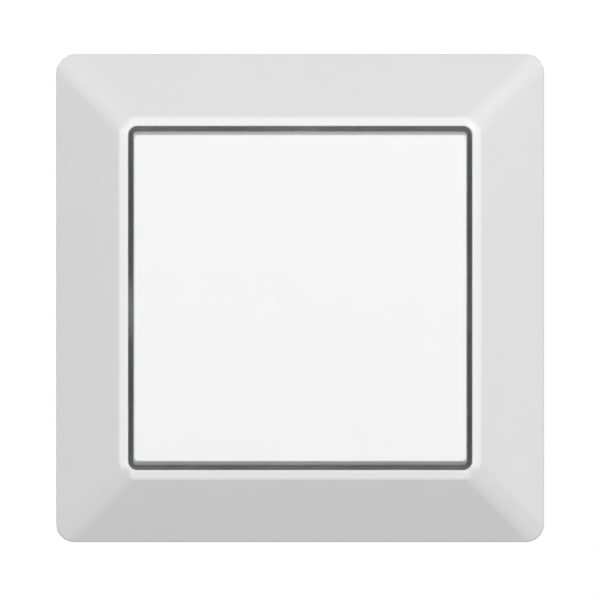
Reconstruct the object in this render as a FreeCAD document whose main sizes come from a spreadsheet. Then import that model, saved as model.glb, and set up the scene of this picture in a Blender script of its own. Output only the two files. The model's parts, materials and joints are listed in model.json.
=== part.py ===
import FreeCAD, Part
import math
import os
import Sketcher

# A flush push button light switch: cover frame, push key and the insert behind them.
# X is right, Z is up and +Y goes into the wall. The wall's face is y = 0, and the
# origin is the middle of the switch on the wall. A "height" is a distance in front
# of the wall, so a height of 3 is y = -3, and a depth in the wall box is a height
# below zero.

os.makedirs("parts", exist_ok=True)
doc = FreeCAD.newDocument("push_button_light_switch")
Vector = FreeCAD.Vector

sizes = {
    # cover frame, and how the opening, the key and the ring follow from its side
    "frame_side": 80.6,
    "slope_run": 10.4,
    "rim_wide": 1.55,
    "key_gap": 0.75,
    "ring_margin": 3.2,
    "frame_corner": 3.0,
    "frame_edge": 3.0,
    "frame_wall": 1.6,
    "rim_corner": 3.2,
    "rim_height": 10.2,
    "rim_rise": 0.2,
    "rim_softening": 0.2,
    "opening_corner": 1.5,
    "collar_wall": 1.5,
    "collar_back": 3.8,
    "catch_back": 4.4,
    "catch_thick": 1.0,
    "catch_proud": 0.8,
    "catch_wide": 8.0,
    "stiffener_place": 22.0,
    "stiffener_thick": 1.2,
    "stiffener_gap": 0.6,
    # support ring
    "ring_thick": 1.0,
    "ring_corner": 8.0,
    "screw_inset": 1.65,
    "slot_radius": 1.6,
    "slot_length": 9.0,
    "hook_place": 14.0,
    "hook_wide": 6.0,
    "hook_thick": 1.0,
    "hook_lip": 0.7,
    # insert base
    "base_wide": 36.0,
    "base_tall": 47.0,
    "base_deep": 21.0,
    "base_wall": 1.6,
    "base_floor": 2.0,
    "base_corner": 4.5,
    "notch_gap": 0.6,
    "flange_thick": 3.0,
    # rivets
    "rivet_radius": 1.25,
    "rivet_head_radius": 2.0,
    "rivet_head": 0.7,
    "rivet_inset_x": 2.6,
    "rivet_inset_z": 3.3,
    # wire entries, terminals and release levers
    "entry_side_room": 4.2,
    "entry_end_room": 4.9,
    "entry_radius": 1.65,
    "entry_wall": 0.95,
    "entry_length": 5.0,
    "entry_chamfer": 0.5,
    "bar_thick": 1.0,
    "bar_end_gap": 2.0,
    "bar_front": 4.6,
    "spring_strip": 0.45,
    "spring_wide": 3.8,
    "spring_bend": 4.0,
    "grip_inset": 3.4,
    "lever_wide": 4.4,
    "lever_tall": 3.0,
    "lever_travel": 1.5,
    "lever_arm": 2.0,
    "gauge_length": 11.0,
    "gauge_wide": 1.2,
    # bearing cover and hinge
    "cover_step": 0.5,
    "cover_thick": 1.6,
    "boss_inset": 1.4,
    "boss_margin": 1.4,
    "ear_rivet_gap": 0.7,
    "axle_radius": 1.0,
    "ear_thick": 2.0,
    "ear_wall": 1.0,
    # cradle
    "cradle_wide": 24.8,
    "cradle_thick": 1.6,
    "cradle_step": 0.6,
    "cradle_above_hinge": 3.9,
    "cradle_land": 3.0,
    "hub_wall": 1.05,
    "key_travel": 4.0,
    "finger_wide": 3.0,
    "finger_z": -3.0,
    "stop_wide": 6.0,
    "stop_thick": 1.2,
    "stop_inset": 2.6,
    "stop_nose": 1.4,
    # return spring
    "coil_z": -8.7,
    "coil_radius": 1.6,
    "coil_wire": 0.2,
    "coil_turns": 5.0,
    "coil_flats": 12,
    # push key
    "key_corner": 0.6,
    "key_proud": 0.5,
    "skirt_overlap": 1.0,
    "key_face": 1.5,
    "key_wall": 1.3,
    "key_softening": 0.45,
    "relief_inner": 7.0,
    "relief_outer": 17.5,
    "relief_depth": 2.8,
    "clip_inset": 3.4,
    "clip_upper_z": 8.0,
    "clip_lower_z": -10.0,
    "clip_wide": 3.2,
    "clip_thick": 1.2,
    "clip_nose": 0.8,
    "key_rib_x": 5.0,
    "key_rib_thick": 1.2,
    "key_rib_tall": 28.0,
    # contacts
    "leaf_depth": 8.0,
    "leaf_thick": 0.4,
    "leaf_wide": 6.0,
    "leaf_root_drop": 2.2,
    "leaf_land": 2.0,
    "contact_z": -9.0,
    "contact_radius": 1.6,
    "contact_thick": 0.8,
    "contact_shank": 0.8,
    "contact_gap": 2.2,
    # claws
    "claw_pivot": 2.0,
    "claw_pivot_depth": 5.0,
    "claw_pin_radius": 1.0,
    "claw_hub_wall": 0.7,
    "claw_half": 4.2,
    "claw_sheet": 1.0,
    "claw_strip": 3.0,
    "claw_web_start": 8.6,
    "claw_tooth": 0.9,
    "claw_tab_angle": 16.0,
    "claw_tab": 6.4,
    "claw_tab_thick": 1.2,
    "claw_tab_hole": 1.9,
    "lug_thick": 2.0,
    "claw_screw_place": 3.9,
    "claw_screw_radius": 1.5,
    "claw_screw_head": 2.5,
    "claw_screw_head_thick": 1.8,
    "claw_screw_end": 11.5,
    "claw_screw_slot": 0.8,
    # clearances
    "fit_gap": 0.3,
    "slide_gap": 0.2,
    "seat_gap": 0.1,
    "rivet_gap": 0.05,
    "axle_gap": 0.05,
    "press_gap": 0.02,
}

sheet = doc.addObject("Spreadsheet::Sheet", "Sizes")
for row, (alias, number) in enumerate(sizes.items(), start=1):
    sheet.set(f"A{row}", alias)
    sheet.set(f"B{row}", str(number))
    sheet.setAlias(f"B{row}", alias)
doc.recompute()


# A size is the sheet formula that drives a feature, with the number it gives now.
class Size:
    def __init__(self, formula, number):
        self.formula = formula
        self.number = number

    def __add__(self, other):
        other = as_size(other)
        return Size(f"({self.formula} + {other.formula})", self.number + other.number)

    def __sub__(self, other):
        other = as_size(other)
        return Size(f"({self.formula} - {other.formula})", self.number - other.number)

    def __mul__(self, other):
        other = as_size(other)
        return Size(f"({self.formula} * {other.formula})", self.number * other.number)

    def __truediv__(self, other):
        other = as_size(other)
        return Size(f"({self.formula} / {other.formula})", self.number / other.number)

    def __neg__(self):
        return Size(f"(-1 * {self.formula})", -self.number)


def as_size(value):
    return value if isinstance(value, Size) else Size(str(value), float(value))


def sheet_size(alias):
    return Size(f"Sizes.{alias}", float(sizes[alias]))


def diagonal(run, rise):
    formula = f"sqrt(({run.formula})^2 + ({rise.formula})^2)"
    return Size(formula, math.hypot(run.number, rise.number))


def sine(angle):
    return Size(f"sin({angle.formula} * 1 deg)", math.sin(math.radians(angle.number)))


def cosine(angle):
    return Size(f"cos({angle.formula} * 1 deg)", math.cos(math.radians(angle.number)))


def about(middle, half):
    return as_size(middle) - half, as_size(middle) + half


# The same span on the right (side 1) or mirrored to the left or bottom (side -1).
def on_side(side, low, high):
    return (as_size(low), as_size(high)) if side > 0 else (-as_size(high), -as_size(low))


s = {alias: sheet_size(alias) for alias in sizes}


# Outlines for sketches. Each returns a function that draws one closed outline.
def place_point(sketch, geometry, point, x, y):
    for kind, value in (("DistanceX", x), ("DistanceY", y)):
        index = sketch.addConstraint(
            Sketcher.Constraint(kind, -1, 1, geometry, point, value.number)
        )
        sketch.setExpression(f"Constraints[{index}]", value.formula)


def set_radius(sketch, geometry, radius):
    index = sketch.addConstraint(Sketcher.Constraint("Radius", geometry, radius.number))
    sketch.setExpression(f"Constraints[{index}]", radius.formula)


def polygon(*corners):
    corners = [(as_size(x), as_size(y)) for x, y in corners]

    def draw(sketch):
        first = sketch.GeometryCount
        count = len(corners)
        for index, (x, y) in enumerate(corners):
            following = corners[(index + 1) % count]
            start = Vector(x.number, y.number, 0)
            end = Vector(following[0].number, following[1].number, 0)
            sketch.addGeometry(Part.LineSegment(start, end), False)
        for index, (x, y) in enumerate(corners):
            following = first + (index + 1) % count
            sketch.addConstraint(
                Sketcher.Constraint("Coincident", first + index, 2, following, 1)
            )
            place_point(sketch, first + index, 1, x, y)

    return draw


def rectangle(x, y, corner=None):
    low_x, high_x = (as_size(value) for value in x)
    low_y, high_y = (as_size(value) for value in y)
    if corner is None:
        return polygon((low_x, low_y), (high_x, low_y), (high_x, high_y), (low_x, high_y))

    def draw(sketch):
        first = sketch.GeometryCount
        round_x = (low_x + corner, high_x - corner)
        round_y = (low_y + corner, high_y - corner)
        centres = [
            (round_x[1], round_y[0]),
            (round_x[1], round_y[1]),
            (round_x[0], round_y[1]),
            (round_x[0], round_y[0]),
        ]
        r = corner.number
        for turn, (x, y) in enumerate(centres):
            # each corner's arc, then the straight edge that leaves it
            start = math.radians(-90 + 90 * turn)
            middle = Vector(x.number, y.number, 0)
            circle = Part.Circle(middle, Vector(0, 0, 1), r)
            sketch.addGeometry(Part.ArcOfCircle(circle, start, start + math.pi / 2), False)
            following = centres[(turn + 1) % 4]
            outward = Vector(math.cos(start + math.pi / 2), math.sin(start + math.pi / 2), 0) * r
            end = Vector(following[0].number, following[1].number, 0)
            sketch.addGeometry(Part.LineSegment(middle + outward, end + outward), False)
        for turn, (x, y) in enumerate(centres):
            arc = first + 2 * turn
            line = arc + 1
            next_arc = first + 2 * ((turn + 1) % 4)
            sketch.addConstraint(Sketcher.Constraint("Tangent", arc, 2, line, 1))
            sketch.addConstraint(Sketcher.Constraint("Tangent", line, 2, next_arc, 1))
            place_point(sketch, arc, 3, x, y)
        set_radius(sketch, first, corner)

    return draw


def square(side, corner=None):
    return rectangle((-side / 2, side / 2), (-side / 2, side / 2), corner)


def disc(x, y, radius):
    x, y = as_size(x), as_size(y)

    def draw(sketch):
        centre = Vector(x.number, y.number, 0)
        index = sketch.addGeometry(
            Part.Circle(centre, Vector(0, 0, 1), radius.number), False
        )
        place_point(sketch, index, 3, x, y)
        set_radius(sketch, index, radius)

    return draw


# An upright slot with round ends. length is its whole length.
def slot(x, y, length, radius):
    x, y = as_size(x), as_size(y)

    def draw(sketch):
        first = sketch.GeometryCount
        reach = length / 2 - radius
        ends = [(y - reach, math.pi), (y + reach, 0)]
        for middle, start in ends:
            circle = Part.Circle(
                Vector(x.number, middle.number, 0), Vector(0, 0, 1), radius.number
            )
            sketch.addGeometry(Part.ArcOfCircle(circle, start, start + math.pi), False)
        for side, (low, high) in ((1, (0, 1)), (-1, (1, 0))):
            edge = x.number + side * radius.number
            sketch.addGeometry(
                Part.LineSegment(
                    Vector(edge, ends[low][0].number, 0), Vector(edge, ends[high][0].number, 0)
                ),
                False,
            )
        lower, upper, right, left = range(first, first + 4)
        sketch.addConstraint(Sketcher.Constraint("Tangent", lower, 2, right, 1))
        sketch.addConstraint(Sketcher.Constraint("Tangent", right, 2, upper, 1))
        sketch.addConstraint(Sketcher.Constraint("Tangent", upper, 2, left, 1))
        sketch.addConstraint(Sketcher.Constraint("Tangent", left, 2, lower, 1))
        place_point(sketch, lower, 3, x, ends[0][0])
        place_point(sketch, upper, 3, x, ends[1][0])
        set_radius(sketch, lower, radius)

    return draw


# Bodies and features. "front" sketches lie parallel to the wall and grow towards the
# viewer, "side" sketches grow along +X with Y and Z as their axes, and "level"
# sketches grow along +Z with X and Y as their axes.
plane_roles = {"front": "XZ_Plane", "side": "YZ_Plane", "level": "XY_Plane"}
nodes = {}


def new_body(node):
    body = doc.addObject("PartDesign::Body", node)
    body.Label = node
    body.Placement = FreeCAD.Placement()
    nodes[node] = body
    return body


def sketch_on(body, plane, offset, outlines):
    sketch = body.newObject("Sketcher::SketchObject", f"{body.Name}_outline")
    role = plane_roles[plane]
    origin_plane = next(item for item in body.Origin.OriginFeatures if item.Role == role)
    sketch.AttachmentSupport = [(origin_plane, "")]
    sketch.MapMode = "FlatFace"
    sketch.setExpression("AttachmentOffset.Base.z", as_size(offset).formula)
    for outline in outlines:
        outline(sketch)
    return sketch


# A feature that changes nothing is a mistake in its direction, so the volume is compared.
def confirm_change(body, before, feature, adds):
    doc.recompute()
    change = body.Shape.Volume - before
    if (change > 0) != adds or abs(change) < 1e-6:
        raise RuntimeError(f"{feature.Name} of {body.Label} changed the volume by {change}")


def solid_volume(body):
    return 0.0 if body.Shape.isNull() else body.Shape.Volume


# One padded or pocketed layer of a body, from its low to its high level.
def layer(body, kind, plane, low, high, *outlines):
    before = solid_volume(body)
    low, high = as_size(low), as_size(high)
    sketch = sketch_on(body, plane, low, outlines)
    feature = body.newObject(f"PartDesign::{kind}", f"{body.Name}_{kind.lower()}")
    feature.Profile = sketch
    feature.setExpression("Length", (high - low).formula)
    feature.Reversed = kind == "Pocket"
    confirm_change(body, before, feature, kind == "Pad")
    return feature


def pad(body, plane, low, high, *outlines):
    return layer(body, "Pad", plane, low, high, *outlines)


def pocket(body, plane, low, high, *outlines):
    return layer(body, "Pocket", plane, low, high, *outlines)


# A straight-sided transition between two outlines parallel to the wall.
def loft(body, kind, low, low_outline, high, high_outline):
    before = solid_volume(body)
    lower = sketch_on(body, "front", low, [low_outline])
    upper = sketch_on(body, "front", high, [high_outline])
    feature = body.newObject(f"PartDesign::{kind}", f"{body.Name}_loft")
    feature.Profile = lower
    feature.Sections = [upper]
    feature.Ruled = True
    confirm_change(body, before, feature, kind == "AdditiveLoft")
    return feature


# Rounds or bevels the edges of the body's tip that pass the test.
def soften(body, kind, size, chosen):
    base = body.Tip
    before = solid_volume(body)
    edges = [
        f"Edge{index}"
        for index, edge in enumerate(base.Shape.Edges, start=1)
        if chosen(edge)
    ]
    feature = body.newObject(f"PartDesign::{kind}", f"{body.Name}_{kind.lower()}")
    feature.Base = (base, edges)
    feature.setExpression("Radius" if kind == "Fillet" else "Size", size.formula)
    confirm_change(body, before, feature, False)
    return feature


# Part primitives for the turned pieces: a rod along an axis at a place across it.
def rod(name, axis, low, high, across, radius):
    cylinder = doc.addObject("Part::Cylinder", name)
    low, high = as_size(low), as_size(high)
    cylinder.setExpression("Radius", as_size(radius).formula)
    cylinder.setExpression("Height", (high - low).formula)
    first, second = (as_size(value) for value in across)
    if axis == "X":
        base = (low, first, second)
        rotation = FreeCAD.Rotation(Vector(0, 1, 0), 90)
    elif axis == "Y":
        base = (first, low, second)
        rotation = FreeCAD.Rotation(Vector(1, 0, 0), -90)
    else:
        base = (first, second, low)
        rotation = FreeCAD.Rotation()
    cylinder.Placement = FreeCAD.Placement(Vector(), rotation)
    for letter, value in zip("xyz", base):
        cylinder.setExpression(f".Placement.Base.{letter}", value.formula)
    return cylinder


def block(name, x, y, z):
    box = doc.addObject("Part::Box", name)
    for span, length, letter in ((x, "Length", "x"), (y, "Width", "y"), (z, "Height", "z")):
        low, high = (as_size(value) for value in span)
        box.setExpression(length, (high - low).formula)
        box.setExpression(f".Placement.Base.{letter}", low.formula)
    return box


def fused(node, pieces):
    whole = doc.addObject("Part::MultiFuse", node)
    whole.Shapes = pieces
    whole.Refine = True
    return whole


def cut_from(node, base, tool):
    rest = doc.addObject("Part::Cut", node)
    rest.Base = base
    rest.Tool = tool
    rest.Refine = True
    return rest


def keep_node(node, piece):
    piece.Label = node
    nodes[node] = piece
    return piece


# Levels and places that several pieces share, worked out from the sheet. The front
# follows from the frame's side, with the box screws just outside its collar.
frame_side = s["frame_side"]
rim_side = frame_side - s["slope_run"] * 2
opening_side = rim_side - s["rim_wide"] * 2
key_side = opening_side - s["key_gap"] * 2
slot_pitch = opening_side + s["screw_inset"] * 2
rim_top = s["rim_height"] + s["rim_rise"]
collar_outer = opening_side / 2 + s["collar_wall"]
hook_inner = collar_outer + s["catch_proud"] + s["slide_gap"]
hook_outer = hook_inner + s["hook_thick"]
ring_half = frame_side / 2 - s["frame_wall"] - s["ring_margin"]
catch_front = s["catch_back"] + s["catch_thick"]
ring_front = s["ring_thick"]
cover_front = ring_front + s["cover_thick"]

# The rivets sit in the base's notches, and the wire entries inside its walls.
base_x = s["base_wide"] / 2
base_z = s["base_tall"] / 2
cavity_x = base_x - s["base_wall"]
cavity_z = base_z - s["base_wall"]
rivet_x = base_x - s["rivet_inset_x"]
rivet_z = base_z - s["rivet_inset_z"]
notch = s["rivet_head_radius"] + s["notch_gap"]
narrow_x = rivet_x - notch
wide_z = rivet_z - notch
inner_narrow_x = narrow_x - s["base_wall"]
inner_wide_z = wide_z - s["base_wall"]
entry_x = inner_narrow_x - s["entry_side_room"]
entry_z = cavity_z - s["entry_end_room"]
entry_outer = s["entry_radius"] + s["entry_wall"]
base_deep = s["base_deep"]
chamber_depth = base_deep - s["entry_length"]
cavity_depth = base_deep - s["base_floor"]
grip_depth = chamber_depth - s["grip_inset"]
bar_outer_z = entry_z - s["entry_radius"] - s["seat_gap"] - s["rivet_gap"]
bar_inner_z = bar_outer_z - s["bar_thick"]
bar_half = inner_narrow_x - s["bar_end_gap"]
lever_bore = s["lever_wide"] / 2 + s["slide_gap"]

# The cover's boss fills the ring's window, and the hinge sits above it, below the rivets.
boss_x = base_x - s["boss_inset"]
boss_z = bar_outer_z + s["boss_margin"]
ear_reach = s["axle_radius"] + s["ear_wall"]
ear_inner = s["cradle_wide"] / 2 + s["fit_gap"]
ear_outer = ear_inner + s["ear_thick"]
hub_bore = s["axle_radius"] + s["axle_gap"]
hub_radius = hub_bore + s["hub_wall"]
hinge_z = rivet_z - s["rivet_head_radius"] - s["ear_rivet_gap"] - ear_reach
hinge_height = cover_front + s["fit_gap"] + hub_radius
cradle_back = hinge_height + s["cradle_step"]
cradle_front = cradle_back + s["cradle_thick"]
stop_z = s["stop_inset"] - boss_z
stop_tip = s["fit_gap"] + s["stop_thick"]
key_height = rim_top + s["key_proud"]
key_inside = key_height - s["key_face"]
key_back = cradle_front - s["skirt_overlap"]
clip_x = s["cradle_wide"] / 2 - s["clip_inset"]

# The contacts stand behind one another, from the leaf to the fixed contact's bar.
leaf_pivot_z = bar_inner_z - s["leaf_root_drop"]
leaf_end_z = s["contact_z"] - s["leaf_land"]
leaf_front = s["leaf_depth"] - s["leaf_thick"] / 2
leaf_back = s["leaf_depth"] + s["leaf_thick"] / 2
bracket_back = leaf_front - s["seat_gap"]
bracket_front = bracket_back - s["bar_thick"]
fixed_face = leaf_back + s["contact_thick"] + s["contact_gap"]
fixed_seat = fixed_face + s["contact_thick"]
finger_tip = leaf_front - s["fit_gap"]

# The claws stand beside the base, each with its screw further out.
pivot_x = base_x + s["claw_pivot"]
screw_x = pivot_x + s["claw_screw_place"]
lug_inner = s["claw_half"] + s["fit_gap"] + s["slide_gap"]
lug_outer = lug_inner + s["lug_thick"]
corners = [(side, level) for side in (-1, 1) for level in (-1, 1)]


# The cover frame: a low side wall, four slopes up to a narrow rim, and a collar that
# runs back from the rim round the key's opening. It is hollow behind the slopes.
def make_cover_frame():
    body = new_body("cover_frame")
    run = (frame_side - rim_side) / 2
    rise = s["rim_height"] - s["frame_edge"]
    wall_up = s["frame_wall"] * diagonal(run, rise) / run
    hollow_side = frame_side - s["frame_wall"] * 2
    hollow_corner = s["frame_corner"] - s["frame_wall"]
    hollow_low = s["frame_edge"] + s["frame_wall"] * rise / run - wall_up
    hollow_high = s["rim_height"] - wall_up
    outer = square(frame_side, s["frame_corner"])
    rim = square(rim_side, s["rim_corner"])
    opening = square(opening_side, s["opening_corner"])
    eased = square(
        opening_side + s["rim_softening"] * 2, s["opening_corner"] + s["rim_softening"]
    )
    pad(body, "front", 0, s["frame_edge"], outer)
    loft(body, "AdditiveLoft", s["frame_edge"], outer, s["rim_height"], rim)
    loft(body, "AdditiveLoft", s["rim_height"], rim, rim_top, eased)
    hollow = square(hollow_side, hollow_corner)
    pocket(body, "front", 0, hollow_low, hollow)
    loft(body, "SubtractiveLoft", hollow_low, hollow, hollow_high, rim)
    collar = square(collar_outer * 2, s["opening_corner"] + s["collar_wall"])
    pad(body, "front", s["collar_back"], hollow_high, collar)
    pocket(body, "front", 0, rim_top + s["frame_wall"], opening)
    catches = [
        rectangle(
            about(s["hook_place"] * side, s["catch_wide"] / 2),
            on_side(level, collar_outer - s["collar_wall"] / 2, collar_outer + s["catch_proud"]),
        )
        for side, level in corners
    ]
    pad(body, "front", s["catch_back"], catch_front, *catches)
    # the stiffeners' sloping edge lies inside the slope's wall
    web_back = -(ring_front + s["stiffener_gap"])
    sink = s["frame_wall"] / 4
    web = polygon(
        (web_back, collar_outer - sink),
        (web_back, hollow_side / 2 + sink),
        (-(hollow_low + sink), hollow_side / 2 + sink),
        (-(hollow_high + sink), collar_outer - sink),
    )
    webs = [
        pad(body, "side", *about(s["stiffener_place"] * side, s["stiffener_thick"] / 2), web)
        for side in (-1, 1)
    ]
    before = body.Shape.Volume
    around = body.newObject("PartDesign::PolarPattern", "cover_frame_stiffeners")
    around.Originals = webs
    y_axis = next(item for item in body.Origin.OriginFeatures if item.Role == "Y_Axis")
    around.Axis = (y_axis, [""])
    around.Angle = 360
    around.Occurrences = 4
    body.Tip = around
    confirm_change(body, before, around, True)
    # the rim's inner edge is eased by a narrow bevel
    loft(body, "SubtractiveLoft", rim_top - s["rim_softening"], opening, rim_top, eased)


# The support ring: pressed steel sheet with holes above and below and slots at the
# sides for the box screws, and four hooks bent up from notches in its edge, whose lips
# hold the frame's catches. Nothing in it is open behind the gap round the key.
def make_support_ring():
    body = new_body("support_ring")
    half = ring_half
    flat = ring_half - s["ring_corner"]
    outline = polygon(
        (-flat, -half), (flat, -half), (half, -flat), (half, flat),
        (flat, half), (-flat, half), (-half, flat), (-half, -flat),
    )
    pad(body, "front", 0, ring_front, outline)
    aperture_x = boss_x + s["slide_gap"]
    aperture_z = boss_z + s["slide_gap"]
    aperture = rectangle((-aperture_x, aperture_x), (-aperture_z, aperture_z))
    pocket(body, "front", 0, ring_front, aperture)
    notches = [
        rectangle(
            about(s["hook_place"] * side, s["hook_wide"] / 2 + s["fit_gap"]),
            on_side(level, hook_outer, half + s["ring_thick"]),
        )
        for side, level in corners
    ]
    pocket(body, "front", 0, ring_front, *notches)
    rivet_bore = s["rivet_radius"] + s["rivet_gap"]
    holes = [disc(rivet_x * side, rivet_z * level, rivet_bore) for side, level in corners]
    pocket(body, "front", 0, ring_front, *holes)
    for side in (-1, 1):
        place = slot_pitch / 2 * side
        above = disc(0, place, s["slot_radius"])
        beside = slot(place, 0, s["slot_length"], s["slot_radius"])
        pocket(body, "front", 0, ring_front, above, beside)
        screw_hole = disc(screw_x * side, 0, s["claw_screw_radius"] + s["slide_gap"])
        pocket(body, "front", 0, ring_front, screw_hole)
    lip_back = catch_front + s["seat_gap"]
    lip_front = lip_back + s["hook_lip"]
    posts = []
    lips = []
    for side, level in corners:
        across = about(s["hook_place"] * side, s["hook_wide"] / 2)
        posts.append(rectangle(across, on_side(level, hook_inner, hook_outer)))
        lips.append(rectangle(across, on_side(level, collar_outer + s["seat_gap"], hook_outer)))
    pad(body, "front", 0, lip_front, *posts)
    pad(body, "front", lip_back, lip_front, *lips)


# The insert base: a deep moulded box with notched corners for the rivets' heads, wire
# entries and lever windows through its floor, and lugs for the claws at its sides.
def make_insert_base():
    body = new_body("insert_base")
    floor = -base_deep
    flange_back = -s["flange_thick"]
    whole = rectangle((-base_x, base_x), (-base_z, base_z), s["base_corner"])
    pad(body, "front", flange_back, 0, whole)
    edge = s["base_wall"]
    pad(body, "front", floor, 0, rectangle((-base_x, base_x), (-wide_z, wide_z), edge))
    pad(body, "front", floor, 0, rectangle((-narrow_x, narrow_x), (-base_z, base_z), edge))
    wide_cavity = rectangle((-cavity_x, cavity_x), (-inner_wide_z, inner_wide_z))
    narrow_cavity = rectangle((-inner_narrow_x, inner_narrow_x), (-cavity_z, cavity_z))
    pocket(body, "front", -cavity_depth, 0, wide_cavity)
    pocket(body, "front", -cavity_depth, 0, narrow_cavity)
    places = [(entry_x * side, entry_z * level) for side, level in corners]
    guides = [disc(x, z, entry_outer) for x, z in places]
    pad(body, "front", -cavity_depth, -chamber_depth, *guides)
    bores = [disc(x, z, s["entry_radius"]) for x, z in places]
    pocket(body, "front", floor, -chamber_depth, *bores)
    levers = [
        rectangle(
            (-lever_bore, lever_bore),
            about(entry_z * level, s["lever_tall"] / 2 + s["slide_gap"]),
        )
        for level in (-1, 1)
    ]
    pocket(body, "front", floor, -cavity_depth, *levers)
    gauge = slot(-cavity_x + entry_outer, 0, s["gauge_length"], s["gauge_wide"] / 2)
    pocket(body, "front", floor, floor + s["base_floor"] / 4, gauge)
    holes = [
        disc(rivet_x * side, rivet_z * level, s["rivet_radius"] + s["rivet_gap"])
        for side, level in corners
    ]
    pocket(body, "front", flange_back, 0, *holes)
    reach = s["claw_pin_radius"] + s["lug_thick"] / 2
    for side in (-1, 1):
        lug = rectangle(
            on_side(side, base_x - s["base_wall"] / 2, pivot_x + reach),
            about(s["claw_pivot_depth"], reach),
        )
        pin_hole = disc(
            pivot_x * side, s["claw_pivot_depth"], s["claw_pin_radius"] + s["press_gap"]
        )
        for level in (-1, 1):
            pad(body, "level", *on_side(level, lug_inner, lug_outer), lug)
            pocket(body, "level", *on_side(level, lug_inner, lug_outer), pin_hole)
    soften(
        body,
        "Chamfer",
        s["entry_chamfer"],
        lambda edge: edge.Curve.TypeId == "Part::GeomCircle"
        and abs(edge.Curve.Radius - s["entry_radius"].number) < 1e-4
        and abs(edge.Curve.Center.y - base_deep.number) < 1e-4,
    )


# The bearing cover: the moulded front of the insert, with the two hinge ears, the
# windows for the pusher finger and the stop, the spring's seat and four posts behind
# that hold the terminal bars down.
def make_bearing_cover():
    body = new_body("bearing_cover")
    cover_x = base_x - s["cover_step"]
    cover_z = base_z - s["cover_step"]
    plate = rectangle((-cover_x, cover_x), (-cover_z, cover_z), s["base_corner"])
    pad(body, "front", ring_front, cover_front, plate)
    pad(body, "front", 0, ring_front, rectangle((-boss_x, boss_x), (-boss_z, boss_z)))
    ear = rectangle(
        (-(hinge_height + ear_reach), -(ring_front + s["cover_thick"] / 2)),
        about(hinge_z, ear_reach),
        s["ear_wall"] / 2,
    )
    for side in (-1, 1):
        pad(body, "side", *on_side(side, ear_inner, ear_outer), ear)
    bore = disc(-hinge_height, hinge_z, s["axle_radius"] + s["press_gap"])
    pocket(body, "side", -ear_outer, ear_outer, bore)
    # each window is as long as its finger and the way that its tip sweeps
    finger_half = s["finger_wide"] / 2
    finger_sweep = (hinge_height + finger_tip) * sine(s["key_travel"])
    finger_window = rectangle(
        about(0, finger_half + s["fit_gap"]),
        (
            s["finger_z"] - finger_half - s["fit_gap"],
            s["finger_z"] + finger_half + finger_sweep + s["fit_gap"],
        ),
    )
    stop_sweep = (hinge_height + stop_tip) * sine(s["key_travel"])
    stop_half = s["stop_thick"] / 2
    stop_window = rectangle(
        about(0, s["stop_wide"] / 2 + s["fit_gap"]),
        (
            stop_z - stop_half - s["fit_gap"],
            stop_z + stop_half + stop_sweep + s["fit_gap"],
        ),
    )
    holes = [
        disc(rivet_x * side, rivet_z * level, s["rivet_radius"] + s["rivet_gap"])
        for side, level in corners
    ]
    pocket(body, "front", 0, cover_front, finger_window, stop_window, *holes)
    coil_outer = s["coil_radius"] + s["coil_wire"]
    seat = disc(0, s["coil_z"], coil_outer + s["fit_gap"])
    pocket(body, "front", ring_front, cover_front, seat)
    posts = [
        rectangle(
            about(entry_x * side, s["bar_thick"]),
            on_side(level, bar_inner_z - s["slide_gap"], bar_outer_z + s["seat_gap"]),
        )
        for side, level in corners
    ]
    pad(body, "front", -s["bar_front"], 0, *posts)


def make_hinge_axle():
    end = ear_outer + s["seat_gap"] * 4
    across = (-hinge_height, hinge_z)
    keep_node("hinge_axle", rod("hinge_axle", "X", -end, end, across, s["axle_radius"]))


# The key cradle swings on the axle. Its finger pushes the contact leaf, and its stop
# hooks behind the bearing cover to hold the key at rest against the spring.
def make_key_cradle():
    body = new_body("key_cradle")
    half = s["cradle_wide"] / 2
    top = hinge_z + s["cradle_above_hinge"]
    plate = rectangle((-half, half), (stop_z - s["cradle_land"], top), s["cradle_thick"] / 2)
    pad(body, "front", cradle_back, cradle_front, plate)
    centre = (-hinge_height, hinge_z)
    pad(body, "side", -half, half, disc(*centre, hub_radius))
    pocket(body, "side", -half, half, disc(*centre, hub_bore))
    windows = [
        rectangle(
            about(clip_x * side, s["clip_wide"] / 2 + s["fit_gap"]),
            about(place, s["clip_thick"] / 2 + s["clip_nose"] / 2),
        )
        for side in (-1, 1)
        for place in (s["clip_upper_z"], s["clip_lower_z"])
    ]
    pocket(body, "front", cradle_back, cradle_front, *windows)
    finger = rectangle(
        about(0, s["finger_wide"] / 2), about(s["finger_z"], s["finger_wide"] / 2)
    )
    pad(body, "front", -finger_tip, cradle_back, finger)
    stop_x = about(0, s["stop_wide"] / 2)
    stop_half = s["stop_thick"] / 2
    pad(body, "front", -stop_tip, cradle_back, rectangle(stop_x, about(stop_z, stop_half)))
    nose = (stop_z - stop_half - s["stop_nose"], stop_z)
    pad(body, "front", -stop_tip, -s["fit_gap"], rectangle(stop_x, nose))
    boss = disc(0, s["coil_z"], s["coil_radius"] - s["coil_wire"] - s["fit_gap"])
    pad(body, "front", cradle_back - s["cradle_thick"] / 2, cradle_back, boss)


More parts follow.
